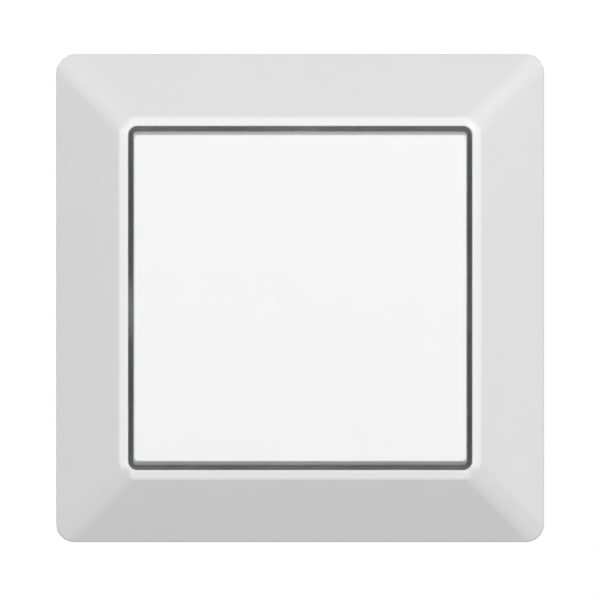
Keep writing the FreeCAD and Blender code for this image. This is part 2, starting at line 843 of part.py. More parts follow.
# The push key: a thin moulded cap with a skirt all round, cut back at the sides
# beside the hinge, ribs that rest on the cradle and four clips that snap through it.
def make_push_key():
    body = new_body("push_key")
    half = key_side / 2
    pad(body, "front", key_back, key_height, square(key_side, s["key_corner"]))
    soften(
        body,
        "Fillet",
        s["key_softening"],
        lambda edge: all(abs(-v.Y - key_height.number) < 1e-4 for v in edge.Vertexes),
    )
    pocket(body, "front", key_back, key_inside, square(key_side - s["key_wall"] * 2))
    reliefs = [
        rectangle(
            on_side(side, half - s["key_wall"] * 1.5, half + s["key_wall"]),
            on_side(level, s["relief_inner"], s["relief_outer"]),
        )
        for side, level in corners
    ]
    pocket(body, "front", key_back, key_back + s["relief_depth"], *reliefs)
    ribs = [
        rectangle(
            about(s["key_rib_x"] * side, s["key_rib_thick"] / 2), about(0, s["key_rib_tall"] / 2)
        )
        for side in (-1, 1)
    ]
    pad(body, "front", cradle_front, key_inside, *ribs)
    nose_front = cradle_back - s["seat_gap"]
    nose_back = nose_front - s["clip_nose"] * 0.75
    arms = []
    noses = []
    for side in (-1, 1):
        across = about(clip_x * side, s["clip_wide"] / 2)
        for place, level in ((s["clip_upper_z"], 1), (s["clip_lower_z"], -1)):
            inner = place - s["clip_thick"] / 2 * level
            outer = place + (s["clip_thick"] / 2 + s["clip_nose"]) * level
            arms.append(rectangle(across, about(place, s["clip_thick"] / 2)))
            noses.append(rectangle(across, (inner, outer) if level > 0 else (outer, inner)))
    pad(body, "front", nose_back, key_inside, *arms)
    pad(body, "front", nose_back, nose_front, *noses)


# The return spring, coiled from wire between the cover's seat and the cradle. The
# wire's round section is drawn with flats, so that its mesh lies on its faces.
def make_return_spring():
    wire = s["coil_wire"].number
    low = ring_front.number + wire
    high = cradle_back.number - wire
    turns = s["coil_turns"].number
    radius = s["coil_radius"].number
    spine = Part.makeHelix((high - low) / turns, high - low, radius)
    step = 2 * math.pi / s["coil_flats"].number
    angles = [step * (index + 0.5) for index in range(int(s["coil_flats"].number))]
    rim = [Vector(radius + wire * math.cos(a), 0, wire * math.sin(a)) for a in angles]
    section = Part.Wire(Part.makePolygon(rim + rim[:1]).Edges)
    spring = doc.addObject("Part::Feature", "return_spring")
    spring.Shape = Part.Wire(spine.Edges).makePipeShell([section], True, True)
    seat = Vector(0, -low, s["coil_z"].number)
    spring.Placement = FreeCAD.Placement(seat, FreeCAD.Rotation(Vector(1, 0, 0), 90))
    keep_node("return_spring", spring)


# The terminal bars: copper strips that the wires are gripped against, each with a
# tongue, one in front of the leaf's root and one behind the fixed contact.
def make_terminal_bars():
    tongue_x = s["leaf_wide"] / 2
    strip = (s["bar_front"], chamber_depth)
    line_bar = new_body("line_terminal_bar")
    pad(line_bar, "side", -bar_half, bar_half, rectangle(strip, (bar_inner_z, bar_outer_z)))
    root = leaf_pivot_z - s["bar_thick"] * 1.5
    tongue = rectangle((bracket_front, bracket_back), (root, bar_outer_z))
    pad(line_bar, "side", -tongue_x, tongue_x, tongue)
    load_bar = new_body("load_terminal_bar")
    pad(load_bar, "side", -bar_half, bar_half, rectangle(strip, (-bar_outer_z, -bar_inner_z)))
    end = s["contact_z"] + s["contact_radius"] + s["contact_thick"] / 2
    tongue = rectangle((fixed_seat, fixed_seat + s["bar_thick"]), (-bar_outer_z, end))
    pad(load_bar, "side", -tongue_x, tongue_x, tongue)
    hole = disc(0, s["contact_z"], s["contact_shank"] + s["press_gap"])
    pocket(load_bar, "front", -(fixed_seat + s["bar_thick"]), -fixed_seat, hole)


# A contact rivet has a wide silver head, a shank through its carrier and a small
# closing head behind. facing is 1 where the head looks into the box, or -1.
def contact_rivet(node, seat, carrier, facing):
    across = (0, s["contact_z"])
    head_end = seat + s["contact_thick"] * facing
    shank_end = seat - carrier * facing
    closing_end = shank_end - s["contact_thick"] / 2 * facing
    spans = [
        (seat, head_end, s["contact_radius"]),
        (shank_end, seat, s["contact_shank"]),
        (closing_end, shank_end, s["contact_radius"] * 0.75),
    ]
    pieces = []
    for index, (start, end, radius) in enumerate(spans):
        low, high = (start, end) if facing > 0 else (end, start)
        pieces.append(rod(f"{node}_{index}", "Y", low, high, across, radius))
    keep_node(node, fused(node, pieces))


def make_contacts():
    leaf = new_body("contact_leaf")
    top = leaf_pivot_z + s["leaf_thick"]
    strip = rectangle(about(0, s["leaf_wide"] / 2), (leaf_end_z, top), s["leaf_thick"])
    pad(leaf, "front", -leaf_back, -leaf_front, strip)
    hole = disc(0, s["contact_z"], s["contact_shank"] + s["press_gap"])
    pocket(leaf, "front", -leaf_back, -leaf_front, hole)
    contact_rivet("moving_contact", leaf_back, s["leaf_thick"], 1)
    contact_rivet("fixed_contact", fixed_seat, s["bar_thick"], -1)


# A clamp spring: a leg along the chamber's wall, a bend near the front, and a
# diagonal leg whose edge stands in the wire's way and bites into it.
def make_clamp_springs():
    strip = s["spring_strip"]
    outer = cavity_z - s["slide_gap"]
    leg_end = cavity_depth - s["slide_gap"]
    bend = s["spring_bend"]
    grip_z = bar_outer_z + s["fit_gap"]
    profile = [
        (leg_end, outer),
        (bend, outer),
        (bend, outer - strip * 2),
        (grip_depth, grip_z),
        (grip_depth + strip * 0.6, grip_z + strip),
        (bend + strip * 1.3, outer - strip * 1.8),
        (bend + strip * 1.3, outer - strip),
        (leg_end, outer - strip),
    ]
    half = s["spring_wide"] / 2
    for number, (side, level) in enumerate(corners, start=1):
        body = new_body(f"clamp_spring_{number}")
        outline = polygon(*[(y, z * level) for y, z in profile])
        pad(body, "side", *about(entry_x * side, half), outline)


# A release lever: a stem out through the base's floor with a shoulder inside, and a
# crossbar with two fingers that push both clamp springs of its pair open.
def make_release_levers():
    half = s["lever_wide"] / 2
    stem_low = entry_z - s["lever_tall"] / 2
    stem_high = entry_z + s["lever_tall"] / 2
    arm_low = entry_z + s["entry_radius"] + s["slide_gap"] + s["rivet_gap"]
    arm_high = cavity_z - s["slide_gap"] - s["spring_strip"] - s["fit_gap"] * 2
    arm_back = chamber_depth - s["fit_gap"] * 2
    arm_front = arm_back - s["lever_arm"]
    lever_end = base_deep + s["lever_travel"] + s["seat_gap"]
    reach = entry_x + s["spring_wide"] / 2 - s["slide_gap"]
    shoulder_back = cavity_depth - s["slide_gap"]
    shoulder_front = shoulder_back - s["base_floor"] * 0.7
    shoulder_x = entry_x - entry_outer - s["fit_gap"]
    # the finger ends just clear of the diagonal leg at its lower edge
    bend_z = cavity_z - s["slide_gap"] - s["spring_strip"] * 1.8
    bend_y = s["spring_bend"] + s["spring_strip"] * 1.3
    grip_z = bar_outer_z + s["fit_gap"] + s["spring_strip"]
    slope = (grip_depth + s["spring_strip"] * 0.6 - bend_y) / (bend_z - grip_z)
    finger_end = bend_y + (bend_z - arm_low) * slope + s["fit_gap"]
    for name, level in (("release_lever_top", 1), ("release_lever_bottom", -1)):
        body = new_body(name)
        stem = rectangle((-half, half), on_side(level, stem_low, stem_high))
        pad(body, "front", -lever_end, -arm_front, stem)
        shoulder = rectangle((-shoulder_x, shoulder_x), on_side(level, stem_low, stem_high))
        pad(body, "front", -shoulder_back, -shoulder_front, shoulder)
        neck = rectangle((-half, half), on_side(level, entry_z, arm_high))
        pad(body, "front", -arm_back, -arm_front, neck)
        arm = rectangle((-reach, reach), on_side(level, arm_low, arm_high))
        pad(body, "front", -arm_back, -arm_front, arm)
        fingers = [
            rectangle(
                on_side(side, entry_x * 2 - reach, reach), on_side(level, arm_low, arm_high)
            )
            for side in (-1, 1)
        ]
        pad(body, "front", -arm_back, -finger_end, *fingers)


# Four rivets hold the bearing cover, the support ring and the base together.
def make_rivets():
    spans = [
        (-cover_front, s["flange_thick"], s["rivet_radius"]),
        (-(cover_front + s["rivet_head"]), -cover_front, s["rivet_head_radius"]),
        (s["flange_thick"], s["flange_thick"] + s["rivet_head"], s["rivet_head_radius"]),
    ]
    for number, (side, level) in enumerate(corners, start=1):
        across = (rivet_x * side, rivet_z * level)
        pieces = [
            rod(f"rivet_{number}_{index}", "Y", low, high, across, radius)
            for index, (low, high, radius) in enumerate(spans)
        ]
        keep_node(f"rivet_{number}", fused(f"rivet_{number}", pieces))


# A spreading claw: two flanges astride the screw, joined by a web towards the tip,
# and a threaded tab on the screw that swings them out as the screw draws it in.
def make_claw(name, side):
    body = new_body(f"claw_{name}")
    depth = s["claw_pivot_depth"]
    bore_radius = s["claw_pin_radius"] + s["axle_gap"]
    hub_radius = bore_radius + s["claw_hub_wall"]
    strip_half = s["claw_strip"] / 2
    web_start = depth + s["claw_web_start"]
    sheet_thick = s["claw_sheet"]
    inner = pivot_x - strip_half
    strip_x = on_side(side, inner, pivot_x + strip_half)
    half = s["claw_half"]
    pad(body, "level", -half, half, disc(pivot_x * side, depth, hub_radius))
    for level in (-1, 1):
        flange = rectangle(strip_x, (depth, base_deep))
        pad(body, "level", *on_side(level, half - sheet_thick, half), flange)
    web = rectangle(on_side(side, inner, inner + sheet_thick), (web_start, base_deep))
    pad(body, "level", -half, half, web)
    tooth = rectangle(
        on_side(side, inner, pivot_x + strip_half + s["claw_tooth"]), (base_deep - sheet_thick, base_deep)
    )
    pad(body, "level", -half, half, tooth)
    # the tab leans back at rest by the angle that it passes to the other side
    angle = s["claw_tab_angle"]
    along = (cosine(angle), sine(angle))
    tab_half = s["claw_tab_thick"] / 2

    def tab_point(reach, lift):
        x = pivot_x + along[0] * reach - along[1] * lift
        y = depth + along[1] * reach + along[0] * lift
        return x * side, y

    tab = polygon(
        tab_point(bore_radius, -tab_half),
        tab_point(s["claw_tab"], -tab_half),
        tab_point(s["claw_tab"], tab_half),
        tab_point(bore_radius, tab_half),
    )
    tab_z = half - sheet_thick - s["fit_gap"]
    pad(body, "level", -tab_z, tab_z, tab)
    pocket(body, "level", -half, half, disc(pivot_x * side, depth, bore_radius))
    # the threaded hole lies square to the tab, so it is cut with a tilted cylinder
    reach = s["claw_screw_place"] / along[0]
    start_x, start_y = tab_point(reach, -tab_half * 2)
    tool = doc.addObject("Part::Cylinder", f"claw_{name}_thread")
    tool.setExpression("Radius", s["claw_tab_hole"].formula)
    tool.setExpression("Height", (tab_half * 4).formula)
    tool.Placement = FreeCAD.Placement(Vector(), FreeCAD.Rotation(Vector(1, 0, 0), -90))
    for letter, value in (("x", start_x), ("y", start_y)):
        tool.setExpression(f".Placement.Base.{letter}", value.formula)
    rotation = FreeCAD.Rotation(Vector(0, 0, 1), angle.number * side)
    tool.Placement.Rotation = rotation.multiply(FreeCAD.Rotation(Vector(1, 0, 0), -90))
    body.Label = f"claw_{name}_blank"
    keep_node(f"claw_{name}", cut_from(f"claw_{name}_cut", body, tool))


def make_claw_screw(name, side):
    node = f"claw_screw_{name}"
    across = (screw_x * side, 0)
    head_front = -(ring_front + s["claw_screw_head_thick"])
    shank = rod(f"{node}_shank", "Y", -ring_front, s["claw_screw_end"], across, s["claw_screw_radius"])
    head = rod(f"{node}_head", "Y", head_front, -ring_front, across, s["claw_screw_head"])
    drive = block(
        f"{node}_drive",
        about(screw_x * side, s["claw_screw_slot"] / 2),
        (head_front, head_front + s["claw_screw_head_thick"] / 2),
        about(0, s["claw_screw_head"]),
    )
    keep_node(node, cut_from(node, fused(f"{node}_blank", [shank, head]), drive))


def make_claws():
    for name, side in (("left", -1), ("right", 1)):
        make_claw(name, side)
        make_claw_screw(name, side)
        across = (pivot_x * side, s["claw_pivot_depth"])
        end = lug_outer + s["slide_gap"]
        pin = rod(f"claw_pin_{name}", "Z", -end, end, across, s["claw_pin_radius"])
        keep_node(f"claw_pin_{name}", pin)


make_cover_frame()
make_support_ring()
make_insert_base()
make_bearing_cover()
make_hinge_axle()
make_key_cradle()
make_push_key()
make_return_spring()
make_terminal_bars()
make_contacts()
make_clamp_springs()
make_release_levers()
make_rivets()
make_claws()

doc.recompute()
for item in doc.Objects:
    if "Invalid" in item.State or "Error" in item.State:
        raise RuntimeError(f"{item.Label} failed: {item.State}")
for node, item in nodes.items():
    if item.Shape.isNull() or not item.Shape.isValid() or len(item.Shape.Solids) != 1:
        raise RuntimeError(f"{node} is not one sound solid")
for node, item in nodes.items():
    item.Shape.exportStep(os.path.join("parts", f"{node}.step"))
    box = item.Shape.BoundBox
    print(
        f"{node}: {item.Shape.Volume:.1f} mm3, x {box.XMin:.2f} to {box.XMax:.2f}, "
        f"y {box.YMin:.2f} to {box.YMax:.2f}, z {box.ZMin:.2f} to {box.ZMax:.2f}"
    )
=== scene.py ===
import bmesh
import bpy
import json
import math
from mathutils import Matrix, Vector

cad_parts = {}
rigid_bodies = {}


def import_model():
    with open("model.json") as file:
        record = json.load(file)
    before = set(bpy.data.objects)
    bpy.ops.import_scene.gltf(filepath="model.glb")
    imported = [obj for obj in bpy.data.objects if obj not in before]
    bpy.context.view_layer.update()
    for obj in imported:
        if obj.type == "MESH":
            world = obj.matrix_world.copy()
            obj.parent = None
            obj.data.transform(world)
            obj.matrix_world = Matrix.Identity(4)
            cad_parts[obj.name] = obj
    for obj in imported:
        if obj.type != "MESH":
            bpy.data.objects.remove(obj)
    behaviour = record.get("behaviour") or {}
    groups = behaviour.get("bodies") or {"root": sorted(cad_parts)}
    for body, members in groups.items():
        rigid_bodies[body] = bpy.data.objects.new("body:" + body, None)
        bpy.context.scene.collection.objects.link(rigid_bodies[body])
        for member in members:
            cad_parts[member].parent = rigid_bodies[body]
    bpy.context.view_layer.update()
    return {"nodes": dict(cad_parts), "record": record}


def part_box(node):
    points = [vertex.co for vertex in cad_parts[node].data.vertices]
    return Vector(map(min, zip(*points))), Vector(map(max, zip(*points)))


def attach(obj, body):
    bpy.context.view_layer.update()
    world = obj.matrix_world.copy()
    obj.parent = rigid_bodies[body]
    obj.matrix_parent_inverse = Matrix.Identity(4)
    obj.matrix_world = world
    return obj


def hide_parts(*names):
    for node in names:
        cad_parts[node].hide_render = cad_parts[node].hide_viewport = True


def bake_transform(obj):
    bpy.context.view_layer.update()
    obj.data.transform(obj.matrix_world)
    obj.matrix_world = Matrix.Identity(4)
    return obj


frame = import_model()
mm = 0.001
smoothAngle = math.radians(35)  # edges sharper than this stay crisp
print("the push button light switch is loaded:", len(frame["nodes"]), "nodes")


def pickOnly(piece):
    bpy.ops.object.select_all(action="DESELECT")
    piece.select_set(True)
    bpy.context.view_layer.objects.active = piece


def selectVerts(piece, isWanted):
    # in edit mode: selects the vertices that pass, and the edges and faces they make up
    mesh = bmesh.from_edit_mesh(piece.data)
    for face in mesh.faces:
        face.select = False
    for edge in mesh.edges:
        edge.select = False
    for vert in mesh.verts:
        vert.select = isWanted(vert)
    mesh.select_mode = {"VERT"}
    mesh.select_flush_mode()
    bmesh.update_edit_mesh(piece.data)


def applyModifier(piece, kind, **settings):
    pickOnly(piece)
    modifier = piece.modifiers.new(kind.lower(), kind)
    for name, value in settings.items():
        setattr(modifier, name, value)
    bpy.ops.object.modifier_apply(modifier=modifier.name)


def faceOutwards(piece):
    pickOnly(piece)
    bpy.ops.object.mode_set(mode="EDIT")
    bpy.ops.mesh.select_all(action="SELECT")
    bpy.ops.mesh.normals_make_consistent(inside=False)
    bpy.ops.object.mode_set(mode="OBJECT")


def shadeSmooth(piece, angle=smoothAngle, weight=50):
    # smooth over the rounded edges, while the large faces keep their flat look
    bpy.ops.object.shade_smooth_by_angle(angle=angle)
    applyModifier(piece, "WEIGHTED_NORMAL", keep_sharp=True, weight=weight)


def hexColour(text):
    # sRGB hex to the linear colour that the shaders take
    parts = [int(text[i:i + 2], 16) / 255 for i in (1, 3, 5)]
    linear = [p / 12.92 if p <= 0.04045 else ((p + 0.055) / 1.055) ** 2.4 for p in parts]
    return (*linear, 1.0)


def addNode(tree, kind, settings=None, links=None):
    node = tree.nodes.new("ShaderNode" + kind)
    for name, value in (settings or {}).items():
        if name in node.inputs:
            node.inputs[name].default_value = value
        else:
            setattr(node, name, value)
    for name, source in (links or {}).items():
        tree.links.new(source, node.inputs[name])
    return node


def startMaterial(name):
    material = bpy.data.materials.new(name)
    material.use_nodes = True
    material.node_tree.nodes.clear()
    return material, material.node_tree


def setRamp(ramp, dark, light, low=0.35, high=0.65):
    first, last = ramp.color_ramp.elements
    first.position, first.color = low, hexColour(dark)
    last.position, last.color = high, hexColour(light)


def mouldedPlastic(name, look):
    # injection moulded: even colour, a faint flow cloud and the fine skin of the tool
    material, tree = startMaterial(name)
    place = addNode(tree, "TexCoord").outputs["Object"]
    cloud = addNode(tree, "TexNoise", {
        "Scale": 1 / look["cloudSize"], "Detail": 3.0, "Roughness": 0.55}, {"Vector": place})
    skin = addNode(tree, "TexNoise", {
        "Scale": 1 / look["skinSize"], "Detail": 2.0, "Roughness": 0.5}, {"Vector": place})
    tint = addNode(tree, "ValToRGB", links={"Fac": cloud.outputs["Fac"]})
    setRamp(tint, look["shade"], look["colour"])
    smooth, rough = look["roughness"]
    gloss = addNode(tree, "MapRange", {
        "From Min": 0.3, "From Max": 0.7, "To Min": smooth, "To Max": rough},
        {"Value": skin.outputs["Fac"]})
    relief = addNode(tree, "Bump", {
        "Strength": look["skinStrength"], "Distance": look["skinDepth"]},
        {"Height": skin.outputs["Fac"]})
    shader = addNode(tree, "BsdfPrincipled", {"IOR": look["ior"]},
                     {"Base Color": tint.outputs["Color"], "Roughness": gloss.outputs["Result"],
                      "Normal": relief.outputs["Normal"]})
    addNode(tree, "OutputMaterial", links={"Surface": shader.outputs["BSDF"]})
    return material


def platedSheet(name, look):
    # pressed sheet under a thin zinc plate: cloudy passivation, faint rolling lines
    material, tree = startMaterial(name)
    place = addNode(tree, "TexCoord").outputs["Object"]
    stretch = addNode(tree, "Mapping", {"Scale": look["rolling"]}, {"Vector": place})
    lines = addNode(tree, "TexNoise", {
        "Scale": 1 / look["lineSize"], "Detail": 4.0, "Roughness": 0.6},
        {"Vector": stretch.outputs["Vector"]})
    cloud = addNode(tree, "TexNoise", {
        "Scale": 1 / look["cloudSize"], "Detail": 4.0, "Roughness": 0.6}, {"Vector": place})
    tint = addNode(tree, "ValToRGB", links={"Fac": cloud.outputs["Fac"]})
    setRamp(tint, look["shade"], look["colour"], 0.3, 0.7)
    smooth, rough = look["roughness"]
    gloss = addNode(tree, "MapRange", {
        "From Min": 0.3, "From Max": 0.7, "To Min": smooth, "To Max": rough},
        {"Value": lines.outputs["Fac"]})
    relief = addNode(tree, "Bump", {
        "Strength": 0.25, "Distance": look["lineDepth"]}, {"Height": lines.outputs["Fac"]})
    shader = addNode(tree, "BsdfPrincipled", {"Metallic": 1.0},
                     {"Base Color": tint.outputs["Color"], "Roughness": gloss.outputs["Result"],
                      "Normal": relief.outputs["Normal"]})
    addNode(tree, "OutputMaterial", links={"Surface": shader.outputs["BSDF"]})
    return material


facePlastic = mouldedPlastic("glossWhiteThermoplastic", {  # polished tool: white with a silk gloss
    "colour": "#F7F7F7", "shade": "#F6F6F6", "cloudSize": 9 * mm, "skinSize": 0.7 * mm,
    "roughness": (0.28, 0.31), "skinStrength": 0.03, "skinDepth": 0.02 * mm, "ior": 1.53})
housingPlastic = mouldedPlastic("mattGreyThermoset", {  # filled urea: dry, light grey, fine grain
    "colour": "#E3E3E0", "shade": "#DFDFDC", "cloudSize": 7 * mm, "skinSize": 0.25 * mm,
    "roughness": (0.46, 0.58), "skinStrength": 0.25, "skinDepth": 0.02 * mm, "ior": 1.55})
cradlePlastic = mouldedPlastic("satinAcetal", {  # waxy off-white bearing plastic
    "colour": "#EFEEE9", "shade": "#E8E7E0", "cloudSize": 6 * mm, "skinSize": 0.4 * mm,
    "roughness": (0.32, 0.40), "skinStrength": 0.1, "skinDepth": 0.02 * mm, "ior": 1.48})
leverPlastic = mouldedPlastic("satinOrangePolyamide", {  # orange, so that a fitter finds the levers
    "colour": "#ED7A26", "shade": "#E26F1E", "cloudSize": 4 * mm, "skinSize": 0.3 * mm,
    "roughness": (0.36, 0.46), "skinStrength": 0.15, "skinDepth": 0.02 * mm, "ior": 1.53})
zincSteelDarkenedAsGapShade = platedSheet("zincPlatedSheetSteel", {  # slightly blue, softly clouded zinc, its grey darkened as painted shade for the gap round the key
    "colour": "#A6A8AA", "shade": "#989A9D", "cloudSize": 3 * mm, "rolling": (1.0, 1.0, 14.0),
    "lineSize": 1.2 * mm, "lineDepth": 0.01 * mm, "roughness": (0.50, 0.62)})
brightSteel = platedSheet("drawnBrightSteel", {  # turned and drawn wire: fine lines round the piece
    "colour": "#D2D2D1", "shade": "#C4C4C3", "cloudSize": 3 * mm, "rolling": (1.0, 12.0, 1.0),
    "lineSize": 0.8 * mm, "lineDepth": 0.008 * mm, "roughness": (0.20, 0.30)})
springSteel = platedSheet("stainlessSpringSteel", {  # cold-rolled strip and wire, a little darker
    "colour": "#C9C8C4", "shade": "#BAB9B4", "cloudSize": 3 * mm, "rolling": (10.0, 1.0, 1.0),
    "lineSize": 0.8 * mm, "lineDepth": 0.008 * mm, "roughness": (0.24, 0.34)})
copperAlloy = platedSheet("stampedCopperAlloy", {  # bronze strip with the first brown of tarnish
    "colour": "#E3B17F", "shade": "#D09A69", "cloudSize": 3.5 * mm, "rolling": (1.0, 10.0, 1.0),
    "lineSize": 1.0 * mm, "lineDepth": 0.008 * mm, "roughness": (0.26, 0.38)})
contactSilver = platedSheet("fineSilverContact", {  # dull white silver, pressed
    "colour": "#EFEEEA", "shade": "#DFDDD7", "cloudSize": 1.5 * mm, "rolling": (1.0, 1.0, 1.0),
    "lineSize": 0.5 * mm, "lineDepth": 0.006 * mm, "roughness": (0.22, 0.34)})

slotFinishes = {
    "face_plastic": facePlastic, "housing_plastic": housingPlastic, "cradle_plastic": cradlePlastic,
    "lever_plastic": leverPlastic, "zinc_plated_steel": zincSteelDarkenedAsGapShade, "bright_steel": brightSteel,
    "spring_steel": springSteel, "copper_alloy": copperAlloy, "contact_silver": contactSilver}
slotOf = {part["node"]: part["material_slot"] for part in frame["record"]["subparts"]}
print("finishes made:", len(slotFinishes))


def coat(piece, slot):
    piece.data.materials.clear()
    piece.data.materials.append(slotFinishes[slot])


def standFor(piece, node, body):
    # the piece takes the place, the finish and the slot of a CAD node, and rides on its body
    slot = slotOf[node]
    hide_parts(node)
    coat(piece, slot)
    if body:
        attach(piece, body)


def startPiece(name):
    # an empty mesh, left in edit mode
    bpy.ops.object.select_all(action="DESELECT")
    bpy.ops.mesh.primitive_plane_add(size=1, location=(0, 0, 0))
    piece = bpy.context.object
    piece.name = name
    piece.data.name = name
    bpy.ops.object.mode_set(mode="EDIT")
    bpy.ops.mesh.select_all(action="SELECT")
    bpy.ops.mesh.delete(type="VERT")
    return piece


def copyPiece(piece, name, move):
    pickOnly(piece)
    bpy.ops.object.duplicate(linked=False)
    twin = bpy.context.object
    twin.name = name
    twin.data.name = name
    bpy.ops.transform.translate(value=move)
    bpy.ops.object.transform_apply(location=True, rotation=False, scale=False)
    return twin


def addCutter(middle, size, turn=0.0):
    # a block to cut with, turned about the wall's normal
    bpy.ops.object.select_all(action="DESELECT")
    bpy.ops.mesh.primitive_cube_add(size=1, location=middle)
    cutter = bpy.context.object
    cutter.scale = size
    cutter.rotation_euler = (0, turn, 0)
    bpy.ops.object.transform_apply(location=True, rotation=True, scale=True)
    return cutter


def cutWith(piece, cutters):
    for cutter in cutters:
        applyModifier(piece, "BOOLEAN", operation="DIFFERENCE", solver="EXACT", object=cutter)
        bpy.data.objects.remove(cutter)


def addOutline(outline, segments):
    # in edit mode: a rectangle with round corners, parallel to the wall, left as a ring of edges
    wide, tall, corner, height = outline
    middle = (0, -height, 0)
    bpy.ops.mesh.select_all(action="DESELECT")
    bpy.ops.mesh.primitive_plane_add(size=1, location=middle, rotation=(math.pi / 2, 0, 0))
    bpy.ops.transform.resize(value=(wide, 1, tall), center_override=middle)
    bpy.ops.mesh.bevel(offset_type="OFFSET", offset=corner, segments=segments, affect="VERTICES")
    bpy.ops.mesh.delete(type="ONLY_FACE")


def bridgeRings(piece, ringA, ringB, count):
    ranges = [set(range(ring * count, (ring + 1) * count)) for ring in (ringA, ringB)]
    mesh = bmesh.from_edit_mesh(piece.data)
    mesh.verts.ensure_lookup_table()
    bpy.ops.mesh.select_all(action="DESELECT")
    for edge in mesh.edges:
        if any(edge.verts[0].index in r and edge.verts[1].index in r for r in ranges):
            edge.select_set(True)
    bmesh.update_edit_mesh(piece.data)
    bpy.ops.mesh.bridge_edge_loops()


def makeShell(name, outlines, segments, closed):
    # outlines bridged one after the other, then round to the first one or capped at both ends
    piece = startPiece(name)
    for outline in outlines:
        addOutline(outline, segments)
    bpy.ops.object.mode_set(mode="OBJECT")
    count = len(piece.data.vertices) // len(outlines)
    bpy.ops.object.mode_set(mode="EDIT")
    bpy.ops.mesh.select_mode(type="EDGE")
    for ring in range(len(outlines) - 1):
        bridgeRings(piece, ring, ring + 1, count)
    if closed:
        bridgeRings(piece, len(outlines) - 1, 0, count)
    else:
        for ring in (0, len(outlines) - 1):
            wanted = set(range(ring * count, (ring + 1) * count))
            bpy.ops.mesh.select_mode(type="VERT")
            selectVerts(piece, lambda vert: vert.index in wanted)
            bpy.ops.mesh.edge_face_add()
    bpy.ops.object.mode_set(mode="OBJECT")
    return piece


def addBlock(x, y, z):
    # in edit mode: a block between two places on each axis, merged into the piece's mesh
    middle = tuple((span[0] + span[1]) / 2 for span in (x, y, z))
    size = tuple(abs(span[1] - span[0]) for span in (x, y, z))
    bpy.ops.mesh.select_mode(type="VERT")
    bpy.ops.mesh.select_all(action="DESELECT")
    bpy.ops.mesh.primitive_cube_add(size=1, location=middle)
    bpy.ops.transform.resize(value=size, center_override=middle)


coverFrame = {
    "side": 80.6 * mm, "corner": 3.0 * mm, "edge": 3.0 * mm, "wall": 1.6 * mm,
    "rimSide": 59.8 * mm, "rimCorner": 3.2 * mm, "rimHeight": 10.2 * mm, "rimRise": 0.2 * mm,
    "opening": 56.7 * mm, "openingCorner": 1.5 * mm, "collarWall": 1.5 * mm, "collarBack": 3.8 * mm,
    "softEdge": 0.22 * mm, "softAngle": math.radians(20), "smoothAngle": math.radians(40),
    "backEase": 0.05 * mm, "cornerSegments": 10,
    "catchPlace": 14.0 * mm, "catchWide": 8.0 * mm, "catchProud": 0.8 * mm, "catchBack": 4.4 * mm,
    "catchThick": 1.0 * mm, "catchSoft": 0.2 * mm,
    "webPlace": 22.0 * mm, "webThick": 1.2 * mm, "webBack": 1.6 * mm, "webSink": 0.4 * mm,
}


def makeCoverFrame(look):
    run = (look["side"] - look["rimSide"]) / 2
    rise = look["rimHeight"] - look["edge"]
    wallUp = look["wall"] * math.hypot(run, rise) / run
    hollowSide = look["side"] - look["wall"] * 2
    hollowCorner = look["corner"] - look["wall"]
    hollowLow = look["edge"] + look["wall"] * rise / run - wallUp
    hollowHigh = look["rimHeight"] - wallUp
    collar = look["opening"] + look["collarWall"] * 2
    collarCorner = look["openingCorner"] + look["collarWall"]
    rimTop = look["rimHeight"] + look["rimRise"]
    steps = [  # side, corner and height: up the outside, over the rim and down behind it
        (look["side"], look["corner"], 0),
        (look["side"], look["corner"], look["edge"]),
        (look["rimSide"], look["rimCorner"], look["rimHeight"]),
        (look["opening"], look["openingCorner"], rimTop),
        (look["opening"], look["openingCorner"], look["collarBack"]),
        (collar, collarCorner, look["collarBack"] + look["backEase"]),
        (collar, collarCorner, hollowHigh),
        (hollowSide, hollowCorner, hollowLow),
        (hollowSide, hollowCorner, look["backEase"]),
    ]
    outlines = [(side, side, corner, height) for side, corner, height in steps]
    piece = makeShell("coverFrame", outlines, look["cornerSegments"], True)
    faceOutwards(piece)
    applyModifier(piece, "BEVEL", width=look["softEdge"], segments=3, limit_method="ANGLE",
                  angle_limit=look["softAngle"], harden_normals=False)
    shadeSmooth(piece, look["smoothAngle"])
    # catches that snap under the ring's hooks, and webs behind the slopes
    pickOnly(piece)
    bpy.ops.object.mode_set(mode="EDIT")
    half = collar / 2
    for side in (-1, 1):
        for level in (-1, 1):
            middle = look["catchPlace"] * side
            reach = [level * (half - look["collarWall"] / 2), level * (half + look["catchProud"])]
            addBlock((middle - look["catchWide"] / 2, middle + look["catchWide"] / 2),
                     (-look["catchBack"] - look["catchThick"], -look["catchBack"]), sorted(reach))
            bpy.ops.mesh.bevel(offset=look["catchSoft"], segments=2, affect="EDGES")
    for quarter in range(4):
        for side in (-1, 1):
            addWeb(piece, look, side, quarter, half, hollowSide / 2, hollowLow, hollowHigh)
    bpy.ops.object.mode_set(mode="OBJECT")
    standFor(piece, "cover_frame", "insert")


def addWeb(piece, look, side, quarter, inner, outer, low, high):
    # a block whose front outer edge is drawn back under the slope, then turned to its side
    sink = look["webSink"]
    middle = look["webPlace"] * side
    addBlock((middle - look["webThick"] / 2, middle + look["webThick"] / 2),
             (-(high + sink), -look["webBack"]), (inner - sink, outer + sink))
    mesh = bmesh.from_edit_mesh(piece.data)
    web = [vert for vert in mesh.verts if vert.select]
    for vert in web:
        front = vert.co.y < -look["webBack"] - sink
        vert.select_set(front and vert.co.z > inner)
    bmesh.update_edit_mesh(piece.data)
    bpy.ops.transform.translate(value=(0, high - low, 0))
    for vert in web:
        vert.select_set(True)
    bmesh.update_edit_mesh(piece.data)
    bpy.ops.transform.rotate(value=quarter * math.pi / 2, orient_axis="Y",
                             center_override=(0, 0, 0))


